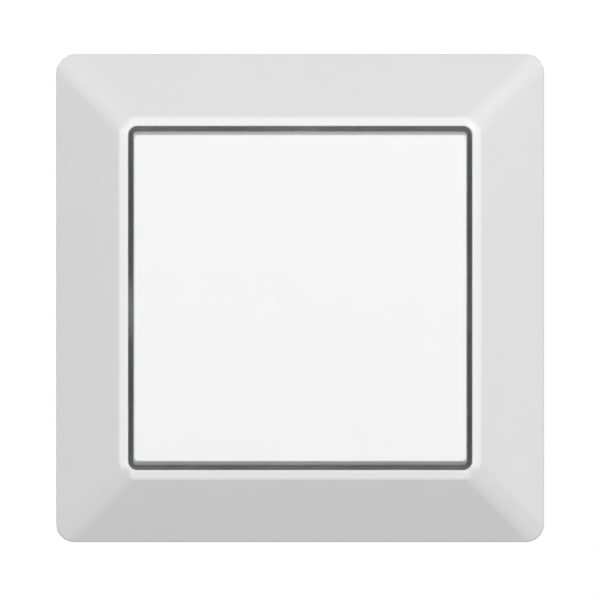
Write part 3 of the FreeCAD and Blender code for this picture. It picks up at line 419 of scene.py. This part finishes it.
pushKey = {
    "side": 55.2 * mm, "corner": 0.6 * mm, "back": 6.2 * mm, "front": 10.9 * mm, "face": 1.5 * mm,
    "wall": 1.3 * mm, "innerCorner": 0.3 * mm, "cornerSegments": 5, "shellAngle": math.radians(40),
    # in mm: how far the shoulder stands in at the sides and at the top and bottom, and its depth
    "shoulder": [(0.0, 0.0, 3.90), (0.02, 0.16, 2.70), (0.04, 0.31, 1.70), (0.07, 0.45, 0.95),
                 (0.13, 0.57, 0.42), (0.22, 0.70, 0.12), (0.34, 0.86, 0.0)],
    "reliefInner": 7.0 * mm, "reliefOuter": 17.5 * mm, "reliefDepth": 2.8 * mm,
    "reliefPast": 1.0 * mm,
    "clipX": 9.0 * mm, "clipUpper": 8.0 * mm, "clipLower": -10.0 * mm, "clipWide": 3.2 * mm,
    "clipThick": 1.2 * mm, "clipNose": 0.8 * mm, "clipBack": 4.9 * mm,
    "clipNoseThick": 0.6 * mm, "clipSoft": 0.2 * mm,
    "ribX": 5.0 * mm, "ribThick": 1.2 * mm, "ribTall": 28.0 * mm, "ribBack": 7.2 * mm,
    "ribSoft": 0.15 * mm, "sink": 0.2 * mm,
}


def makePushKey(look):
    inside = look["front"] - look["face"]
    hollow = look["side"] - look["wall"] * 2
    inner = (hollow, hollow, look["innerCorner"])
    outlines = [(*inner, inside), (*inner, look["back"]),
                (look["side"], look["side"], look["corner"], look["back"])]
    for inWide, inTall, depth in look["shoulder"]:
        outlines.append((look["side"] - inWide * 2 * mm, look["side"] - inTall * 2 * mm,
                         look["corner"], look["front"] - depth * mm))
    piece = makeShell("pushKey", outlines, look["cornerSegments"], False)
    faceOutwards(piece)
    shadeSmooth(piece, look["shellAngle"])  # the cuts below keep the shoulder's shading
    # the skirt is cut back beside the hinge, at both sides
    reliefY = -(look["back"] + look["reliefDepth"] / 2 - look["reliefPast"])
    reliefZ = (look["reliefInner"] + look["reliefOuter"]) / 2
    relief = (look["wall"] * 3, look["reliefDepth"] + look["reliefPast"] * 2,
              look["reliefOuter"] - look["reliefInner"])
    cutWith(piece, [addCutter((side * look["side"] / 2, reliefY, level * reliefZ), relief)
                    for side in (-1, 1) for level in (-1, 1)])
    # two ribs behind the face, and four clips that hold the cradle
    root = -inside - look["sink"]
    pickOnly(piece)
    bpy.ops.object.mode_set(mode="EDIT")
    for side in (-1, 1):
        x = look["ribX"] * side
        addBlock((x - look["ribThick"] / 2, x + look["ribThick"] / 2), (root, -look["ribBack"]),
                 (-look["ribTall"] / 2, look["ribTall"] / 2))
        bpy.ops.mesh.bevel(offset=look["ribSoft"], segments=2, affect="EDGES")
        x = look["clipX"] * side
        across = (x - look["clipWide"] / 2, x + look["clipWide"] / 2)
        for place, level in ((look["clipUpper"], 1), (look["clipLower"], -1)):
            addBlock(across, (root, -look["clipBack"]),
                     (place - look["clipThick"] / 2, place + look["clipThick"] / 2))
            reach = [place, place + (look["clipThick"] / 2 + look["clipNose"]) * level]
            addBlock(across, (-look["clipBack"] - look["clipNoseThick"], -look["clipBack"]),
                     sorted(reach))
            bpy.ops.mesh.bevel(offset=look["clipSoft"], segments=2, affect="EDGES")
    bpy.ops.object.mode_set(mode="OBJECT")
    shadeSmooth(piece)
    standFor(piece, "push_key", "key")


makeCoverFrame(coverFrame)
makePushKey(pushKey)
print("cover frame and push key modelled")


# moulded and pressed pieces of the insert: CAD copies with softened edges
softPieces = {
    # node: (piece, body, edge radius, planes through its holes), in mm
    "insert_base": ("insertBase", "insert", 0.22,
                    {"X": (-20, -15.4, -7, 0, 7, 14.4, 15.4, 20), "Z": (0,)}),
    "bearing_cover": ("bearingCover", "insert", 0.18, {"X": (-15.4, 0, 15.4), "Z": (15.5,)}),
    "key_cradle": ("keyCradle", "key", 0.18, {"X": (-9, 0, 9), "Z": (15.5,)}),
    "support_ring": ("supportRing", "insert", 0.04, {"X": (-15.4, 0, 15.4), "Z": (0,)}),
    "release_lever_top": ("releaseLeverTop", "lever_top", 0.2, {}),
    "release_lever_bottom": ("releaseLeverBottom", "lever_bottom", 0.2, {}),
    "claw_left": ("clawLeft", "spreader_left", 0.10, {"X": (-20,), "Z": (0,)}),
    "claw_right": ("clawRight", "spreader_right", 0.10, {"X": (20,), "Z": (0,)}),
    "line_terminal_bar": ("lineTerminalBar", "insert", 0.10, {}),
    "load_terminal_bar": ("loadTerminalBar", "insert", 0.10, {"X": (0,)}),
    "contact_leaf": ("contactLeaf", "contact_arm", 0.05, {"X": (0,)}),
}
sameSpot = 0.001 * mm  # what lies closer than this is one vertex, or on the plane of a cut
flatAngle = math.radians(0.5)

# the base's flange in mm: half its sides, its corners, its back and the lip that it gets
flange = {"halfX": 18.0, "halfZ": 23.5, "corner": 4.5, "back": 3.0, "lip": 0.5,
          "slack": 0.02, "lean": 0.01}


def addFlangeLip(piece, look):
    # in edit mode: the flange's edge comes out past the housing's walls all round
    def onEdge(vert):
        inX = abs(vert.co.x) / mm - look["halfX"] + look["corner"]
        inZ = abs(vert.co.z) / mm - look["halfZ"] + look["corner"]
        away = math.hypot(inX, inZ) if inX > 0 and inZ > 0 else max(inX, inZ)
        isFront = vert.co.y < (look["back"] + look["slack"]) * mm
        return isFront and abs(away - look["corner"]) < look["slack"]

    bpy.ops.mesh.select_all(action="SELECT")
    bpy.ops.mesh.bisect(plane_co=(0, look["back"] * mm, 0), plane_no=(0, 1, 0), threshold=sameSpot)
    bpy.ops.mesh.select_mode(type="FACE")
    bpy.ops.mesh.select_all(action="DESELECT")
    mesh = bmesh.from_edit_mesh(piece.data)
    for face in mesh.faces:
        isWall = abs(face.normal.y) < look["lean"]
        face.select_set(isWall and all(onEdge(vert) for vert in face.verts))
    bmesh.update_edit_mesh(piece.data)
    bpy.ops.mesh.extrude_region_shrink_fatten(
        TRANSFORM_OT_shrink_fatten={"value": look["lip"] * mm, "use_even_offset": True})


def clearFlatEdges(piece, planes):
    # in edit mode: faces in one plane become one, parted only where a plane cuts their holes
    bpy.ops.mesh.select_all(action="SELECT")
    bpy.ops.mesh.dissolve_limited(angle_limit=flatAngle)
    for axis, places in planes.items():
        index = "XYZ".index(axis)
        for place in places:
            point, normal = [0, 0, 0], [0, 0, 0]
            point[index], normal[index] = place * mm, 1
            bpy.ops.mesh.select_all(action="SELECT")
            bpy.ops.mesh.bisect(plane_co=point, plane_no=normal, threshold=sameSpot)
    bpy.ops.mesh.select_mode(type="EDGE")
    bpy.ops.mesh.select_all(action="DESELECT")
    mesh = bmesh.from_edit_mesh(piece.data)
    for edge in mesh.edges:
        flat = len(edge.link_faces) == 2 and edge.calc_face_angle() < flatAngle
        onCut = any(all(abs(vert.co["XYZ".index(axis)] - place * mm) < sameSpot
                        for vert in edge.verts)
                    for axis, places in planes.items() for place in places)
        edge.select_set(flat and not onCut)
    bmesh.update_edit_mesh(piece.data)
    bpy.ops.mesh.dissolve_edges(use_verts=False)


def makeSoftPiece(node, name, body, softEdge, planes):
    pickOnly(frame["nodes"][node])
    bpy.ops.object.duplicate(linked=False)
    bpy.ops.object.parent_clear(type="CLEAR_KEEP_TRANSFORM")
    piece = bpy.context.object
    piece.name = name
    piece.data.name = name
    bpy.ops.object.mode_set(mode="EDIT")
    bpy.ops.mesh.select_all(action="SELECT")
    bpy.ops.mesh.remove_doubles(threshold=sameSpot)
    if node == "insert_base":
        addFlangeLip(piece, flange)
    clearFlatEdges(piece, planes)
    bpy.ops.object.mode_set(mode="OBJECT")
    applyModifier(piece, "BEVEL", width=softEdge * mm, segments=2, limit_method="ANGLE",
                  angle_limit=smoothAngle, use_clamp_overlap=False, harden_normals=False)
    shadeSmooth(piece, weight=100)
    standFor(piece, node, body)
    return piece


for node, (name, body, softEdge, planes) in softPieces.items():
    makeSoftPiece(node, name, body, softEdge, planes)
print("insert pieces softened:", len(softPieces))


def addTurned(profile, middle, axis, steps=32):
    # in edit mode: a circle drawn out along its axis, wider and narrower
    # profile lists (radius, place along the axis), middle gives the other two places
    index = "XYZ".index(axis)
    rotation = {"X": (0, math.pi / 2, 0), "Y": (math.pi / 2, 0, 0), "Z": (0, 0, 0)}[axis]

    def centreAt(along):
        return (*middle[:index], along, *middle[index:])

    radius, along = profile[0]
    bpy.ops.mesh.select_mode(type="FACE")
    bpy.ops.mesh.select_all(action="DESELECT")
    bpy.ops.mesh.primitive_circle_add(vertices=steps, radius=radius, location=centreAt(along),
                                      rotation=rotation, fill_type="NGON")
    for nextRadius, nextAlong in profile[1:]:
        move = [0, 0, 0]
        move[index] = nextAlong - along
        bpy.ops.mesh.extrude_region_move(TRANSFORM_OT_translate={"value": move})
        grow = nextRadius / radius
        bpy.ops.transform.resize(value=(grow, grow, grow), center_override=centreAt(nextAlong))
        radius, along = nextRadius, nextAlong


def finishTurned(piece, angle=smoothAngle):
    bpy.ops.object.mode_set(mode="OBJECT")
    faceOutwards(piece)
    bpy.ops.object.shade_smooth_by_angle(angle=angle)


details = {
    "toothX": 22.4 * mm, "toothY": 20.5 * mm, "toothPitch": 1.4 * mm, "toothSide": 0.9 * mm,
    "toothLong": 3.0 * mm, "teeth": 5,
    "leverZ": 17.0 * mm, "leverEnd": 22.6 * mm, "driverSlot": (2.8 * mm, 1.2 * mm, 0.8 * mm),
    "markX": 7.0 * mm, "markZ": 8.0 * mm, "markRadius": 1.4 * mm, "markDepth": 0.15 * mm,
    "markPast": 1.0 * mm, "markSteps": 40, "baseBack": 21.0 * mm,
}


def cutDetails(name, cutters):
    piece = bpy.data.objects[name]
    cutWith(piece, cutters)
    shadeSmooth(piece, weight=100)


def makeDetails(look):
    # teeth along the claws' tips
    tooth = (look["toothSide"], look["toothLong"], look["toothSide"])
    places = [(step - (look["teeth"] - 1) / 2) * look["toothPitch"] for step in range(look["teeth"])]
    for name, facing in (("clawLeft", -1), ("clawRight", 1)):
        cutDetails(name, [addCutter((facing * look["toothX"], look["toothY"], place),
                                    tooth, math.pi / 4) for place in places])
    # a slot for the screwdriver's tip in each lever
    for name, level in (("releaseLeverBottom", -1), ("releaseLeverTop", 1)):
        middle = (0, look["leverEnd"], level * look["leverZ"])
        cutDetails(name, [addCutter(middle, look["driverSlot"])])
    # round marks of the mould's ejector pins on the base's back
    pinMarks = []
    profile = [(look["markRadius"], look["baseBack"] - look["markDepth"]),
               (look["markRadius"], look["baseBack"] + look["markPast"])]
    for x in (-look["markX"], look["markX"]):
        for z in (-look["markZ"], look["markZ"]):
            mark = startPiece("pinMark")
            addTurned(profile, (x, z), "Y", look["markSteps"])
            finishTurned(mark)
            pinMarks.append(mark)
    cutDetails("insertBase", pinMarks)


makeDetails(details)
print("teeth, driver slots and pin marks cut")


rivet = {
    "x": 15.4 * mm, "z": 20.2 * mm, "shank": 1.25 * mm, "head": 2.0 * mm, "rise": 0.7 * mm,
    "seatFront": -2.6 * mm, "seatBack": 3.0 * mm,
    "domeAngles": (8, 25, 42, 58, 74, 90), "domeShare": 0.75,
    # behind: radius and height of the rolled-over end and its dimple, as shares of head and rise
    "rolled": ((0.97, 0.0), (1.0, 0.25), (0.96, 0.55), (0.82, 0.88), (0.62, 1.0),
               (0.35, 0.8), (0.21, 0.4), (0.035, 0.3)),
}


def makeRivets(look):
    head, shank, rise = look["head"], look["shank"], look["rise"]
    angles = [math.radians(angle) for angle in look["domeAngles"]]
    front = look["seatFront"] - rise
    dome = [(head * math.sin(angle), front + rise * (1 - math.cos(angle)) * look["domeShare"])
            for angle in angles]
    body = [(head, look["seatFront"]), (shank, look["seatFront"]), (shank, look["seatBack"])]
    rolled = [(head * wide, look["seatBack"] + rise * high) for wide, high in look["rolled"]]
    first = startPiece("rivet1")
    addTurned(dome + body + rolled, (-look["x"], -look["z"]), "Y")
    finishTurned(first)
    rivets = [first]
    for number, (x, z) in ((2, (0, 2)), (3, (2, 0)), (4, (2, 2))):
        rivets.append(copyPiece(first, f"rivet{number}", (x * look["x"], 0, z * look["z"])))
    for number, piece in enumerate(rivets, start=1):
        standFor(piece, f"rivet_{number}", "insert")


makeRivets(rivet)


clawScrew = {
    "x": 23.9 * mm, "head": 2.5 * mm, "headFront": -2.8 * mm, "seat": -1.0 * mm, "end": 11.5 * mm,
    "core": 1.24 * mm, "crest": 1.5 * mm, "tipLong": 0.6 * mm, "headSteps": 36,
    "pitch": 0.5 * mm, "ridgeShare": 0.44, "threadStart": 1.0 * mm, "turns": 20, "threadSteps": 24,
    "slotWide": 0.8 * mm, "slotDeep": 0.9 * mm, "edge": 0.3 * mm,
}


def addThread(look):
    # one ridge that climbs the shank, swept from a diamond
    bpy.ops.object.select_all(action="DESELECT")
    bpy.ops.mesh.primitive_circle_add(vertices=4, radius=1, fill_type="NOTHING",
                                      location=(look["core"], look["threadStart"], 0))
    ridge = bpy.context.object
    ridge.scale = (look["crest"] - look["core"], look["pitch"] * look["ridgeShare"], 1)
    bpy.ops.object.transform_apply(location=True, rotation=False, scale=True)
    applyModifier(ridge, "SCREW", axis="Y", angle=2 * math.pi, screw_offset=look["pitch"],
                  iterations=look["turns"], steps=look["threadSteps"],
                  render_steps=look["threadSteps"], use_merge_vertices=True)
    bpy.ops.object.mode_set(mode="EDIT")
    bpy.ops.mesh.select_mode(type="EDGE")
    bpy.ops.mesh.select_all(action="DESELECT")
    bpy.ops.mesh.select_non_manifold(extend=False, use_wire=False, use_boundary=True,
                                     use_multi_face=False, use_non_contiguous=False,
                                     use_verts=False)
    bpy.ops.mesh.fill_holes(sides=8)
    bpy.ops.mesh.select_all(action="SELECT")
    bpy.ops.mesh.normals_make_consistent(inside=False)
    bpy.ops.object.mode_set(mode="OBJECT")
    return ridge


def makeClawScrews(look):
    head, edge, front, seat = look["head"], look["edge"], look["headFront"], look["seat"]
    # the head's crown and edge, its underside, then the shank with a chamfered tip
    crown = [(head * 0.3, front), (head - edge * 1.6, front + edge * 0.1),
             (head - edge * 0.7, front + edge * 0.4), (head - edge * 0.2, front + edge),
             (head, front + edge * 1.8), (head, seat - edge * 0.4), (head - edge * 0.4, seat)]
    shank = [(look["crest"], seat), (look["crest"], look["threadStart"] * 0.4),
             (look["core"], look["threadStart"] * 0.7),
             (look["core"], look["end"] - look["tipLong"]), (look["core"] * 0.6, look["end"])]
    piece = startPiece("clawScrewRight")
    addTurned(crown + shank, (0, 0), "Y", look["headSteps"])
    finishTurned(piece)
    cutWith(piece, [addCutter((0, front, 0), (look["slotWide"], look["slotDeep"] * 2, head * 3))])
    ridge = addThread(look)
    bpy.ops.object.select_all(action="DESELECT")
    ridge.select_set(True)
    piece.select_set(True)
    bpy.context.view_layer.objects.active = piece
    bpy.ops.object.join()
    bpy.ops.object.shade_smooth_by_angle(angle=smoothAngle)
    left = copyPiece(piece, "clawScrewLeft", (-look["x"], 0, 0))
    pickOnly(piece)
    bpy.ops.transform.translate(value=(look["x"], 0, 0))
    bpy.ops.object.transform_apply(location=True, rotation=False, scale=False)
    standFor(piece, "claw_screw_right", "screw_right")
    standFor(left, "claw_screw_left", "screw_left")


makeClawScrews(clawScrew)

pins = {
    # piece: (node, body, axis, half length, radius, the other two places), in mm
    "hingeAxle": ("hinge_axle", "insert", "X", 15.1, 1.0, (-5.0, 15.5)),
    "clawPinLeft": ("claw_pin_left", "insert", "Z", 6.9, 1.0, (-20.0, 5.0)),
    "clawPinRight": ("claw_pin_right", "insert", "Z", 6.9, 1.0, (20.0, 5.0)),
}
pinEnds = {"chamfer": 0.25, "steps": 28}  # chamfer in mm


def makePins(look):
    chamfer = look["chamfer"]
    for name, (node, body, axis, half, radius, middle) in pins.items():
        piece = startPiece(name)
        end = [(radius - chamfer, -half), (radius - chamfer * 0.3, -half + chamfer * 0.4),
               (radius, -half + chamfer)]
        profile = end + [(wide, -along) for wide, along in reversed(end)]
        addTurned([(wide * mm, along * mm) for wide, along in profile],
                  [place * mm for place in middle], axis, look["steps"])
        finishTurned(piece)
        standFor(piece, node, body)


makePins(pinEnds)
print("rivets, claw screws and pins turned")


contacts = {
    # node: (piece, body, seat, towards the face, thickness of its carrier), in mm along Y
    "moving_contact": ("movingContact", "contact_arm", 8.2, 1, 0.4),
    "fixed_contact": ("fixedContact", "insert", 12.0, -1, 1.0),
}
contactRivet = {  # in mm
    "radius": 1.6, "thick": 0.8, "shank": 0.8, "z": -9.0,
    # share of the radius, and depth behind the face
    "dome": ((0.25, 0.0), (0.62, 0.03), (0.85, 0.10), (0.97, 0.26), (1.0, 0.45)),
    # share of the radius, and height behind the carrier
    "rolled": ((0.75, 0.0), (0.70, 0.24), (0.45, 0.40), (0.1, 0.336)),
}


def makeContacts(look):
    radius = look["radius"]
    for node, (name, body, seat, facing, carrier) in contacts.items():
        face = seat + look["thick"] * facing
        back = seat - carrier * facing
        dome = [(radius * share, face - deep * facing) for share, deep in look["dome"]]
        shank = [(radius, seat), (look["shank"], seat), (look["shank"], back)]
        rolled = [(radius * share, back - high * facing) for share, high in look["rolled"]]
        piece = startPiece(name)
        addTurned([(wide * mm, along * mm) for wide, along in dome + shank + rolled],
                  (0, look["z"] * mm), "Y")
        finishTurned(piece)
        standFor(piece, node, body)


makeContacts(contactRivet)

returnSpring = {
    "z": -8.7 * mm, "radius": 1.6 * mm, "wire": 0.19 * mm, "back": -1.0 * mm, "front": -5.6 * mm,
    "turns": 5, "steps": 24, "sides": 10, "closing": 0.06, "smoothAngle": math.radians(60),
}


def makeReturnSpring(look):
    # round wire wound step by step, the end turns lying closer
    back = look["back"] - look["wire"]
    reach = look["front"] + look["wire"] - back
    total = look["turns"] * look["steps"]
    piece = startPiece("returnSpring")
    bpy.ops.mesh.select_mode(type="FACE")
    bpy.ops.mesh.primitive_circle_add(vertices=look["sides"], radius=look["wire"], fill_type="NGON",
                                      location=(look["radius"], back, look["z"]))
    middle = (0, 0, look["z"])

    def climb(step):
        share = step / total
        return reach * (share - look["closing"] * math.sin(2 * math.pi * share))

    for step in range(total):
        move = (0, climb(step + 1) - climb(step), 0)
        bpy.ops.mesh.extrude_region_move(TRANSFORM_OT_translate={"value": move})
        bpy.ops.transform.rotate(value=2 * math.pi / look["steps"], orient_axis="Y",
                                 center_override=middle)
    finishTurned(piece, look["smoothAngle"])
    standFor(piece, "return_spring", None)
    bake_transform(piece)


makeReturnSpring(returnSpring)
print("contacts and return spring made")


clampSpring = {  # edge and bends in mm
    "edge": 0.08, "bends": (20.5, 20.1, 19.7, 19.3, 18.9, 18.5),
    "legZ": 20.9 * mm, "fingerZ": 18.7 * mm,
}


def makeClampSprings(look):
    # bent strip, one for each wire: one leg stays on the wall, the diagonal one gives way
    for number in range(1, 5):
        node = f"clamp_spring_{number}"
        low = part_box(node)[0]
        level = 1 if low[2] > 0 else -1
        bends = {"Z": [level * place for place in look["bends"]]}
        piece = makeSoftPiece(node, f"clampSpring{number}", None, look["edge"], bends)
        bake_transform(piece)


makeClampSprings(clampSpring)
print("clamp springs softened")


# any CAD piece that is still shown gets its finish
for node, slot in slotOf.items():
    coat(frame["nodes"][node], slot)
print("CAD pieces dressed")


def seenDirectly(tree):
    # 1 for what the camera sees itself, or through a reflection or glass
    rays = addNode(tree, "LightPath")
    either = addNode(tree, "Math", {"operation": "MAXIMUM"})
    tree.links.new(rays.outputs["Is Camera Ray"], either.inputs[0])
    tree.links.new(rays.outputs["Is Glossy Ray"], either.inputs[1])
    anyOf = addNode(tree, "Math", {"operation": "MAXIMUM"})
    tree.links.new(either.outputs["Value"], anyOf.inputs[0])
    tree.links.new(rays.outputs["Is Transmission Ray"], anyOf.inputs[1])
    return anyOf.outputs["Value"]


stage = {
    "floorSide": 4.0, "floorHeight": -0.12, "floorColour": "#F4F4F4", "bounceColour": "#8C8C8C",
    "roomLight": 0.03, "backdrop": 1.0,
}
lamps = {
    # name: (place, side, watts)
    "frontSoftBox": ((0.0, -2.6, -0.14), 1.2, 27.5),
    "upperRightSoftBox": ((0.9, -2.2, 0.9), 1.2, 24.5),
    "upperLeftSoftBox": ((-0.9, -2.2, 0.9), 1.2, 14.9),
    "rightFill": ((2.2, -0.9, 0.0), 1.2, 6.2),
    "leftFill": ((-2.2, -0.9, 0.0), 1.2, 3.7),
    "backSoftBox": ((-0.85, 1.75, 0.8), 0.7, 31.0),
    "backFill": ((1.3, 1.6, 0.75), 0.7, 13.0),
}
longLens = {"lens": 1200, "sensor": 36, "place": (-0.00003, -3.308, -0.00031), "farthest": 50}


def makeStage(look):
    bpy.ops.object.select_all(action="DESELECT")
    bpy.ops.mesh.primitive_plane_add(size=look["floorSide"], location=(0, 0, look["floorHeight"]))
    floor = bpy.context.object
    floor.name = "floor"
    material, tree = startMaterial("paleFloor")
    pale = addNode(tree, "BsdfPrincipled", {
        "Base Color": hexColour(look["floorColour"]), "Roughness": 0.8})
    bounce = addNode(tree, "BsdfDiffuse", {"Color": hexColour(look["bounceColour"])})
    mix = addNode(tree, "MixShader", links={"Fac": seenDirectly(tree)})
    tree.links.new(bounce.outputs["BSDF"], mix.inputs[1])  # what it throws back onto the switch
    tree.links.new(pale.outputs["BSDF"], mix.inputs[2])
    addNode(tree, "OutputMaterial", links={"Surface": mix.outputs["Shader"]})
    floor.data.materials.append(material)

    world = bpy.data.worlds.new("paleStudio")
    bpy.context.scene.world = world
    world.use_nodes = True
    tree = world.node_tree
    tree.nodes.clear()
    room = addNode(tree, "Background", {"Color": (1, 1, 1, 1), "Strength": look["roomLight"]})
    backdrop = addNode(tree, "Background", {"Color": (1, 1, 1, 1), "Strength": look["backdrop"]})
    mix = addNode(tree, "MixShader", links={"Fac": seenDirectly(tree)})
    tree.links.new(room.outputs["Background"], mix.inputs[1])
    tree.links.new(backdrop.outputs["Background"], mix.inputs[2])
    addNode(tree, "OutputWorld", links={"Surface": mix.outputs["Shader"]})


def addLamp(name, place, size, energy):
    # a square soft box that faces the switch
    lamp = bpy.data.lights.new(name, "AREA")
    lamp.shape = "SQUARE"
    lamp.size = size
    lamp.energy = energy
    holder = bpy.data.objects.new(name, lamp)
    bpy.context.scene.collection.objects.link(holder)
    holder.location = place
    holder.rotation_euler = (-Vector(place)).to_track_quat("-Z", "Y").to_euler()


def makeCamera(look):
    camera = bpy.data.cameras.new("camera")
    camera.sensor_width = look["sensor"]
    camera.lens = look["lens"]
    camera.clip_end = look["farthest"]
    holder = bpy.data.objects.new("camera", camera)
    bpy.context.scene.collection.objects.link(holder)
    holder.location = look["place"]
    holder.rotation_euler = (math.pi / 2, 0, 0)
    bpy.context.scene.camera = holder


makeStage(stage)
for name, (place, side, watts) in lamps.items():
    addLamp(name, place, side, watts)
makeCamera(longLens)
bpy.context.scene.view_settings.view_transform = "Standard"

print("stage, lamps and camera set")
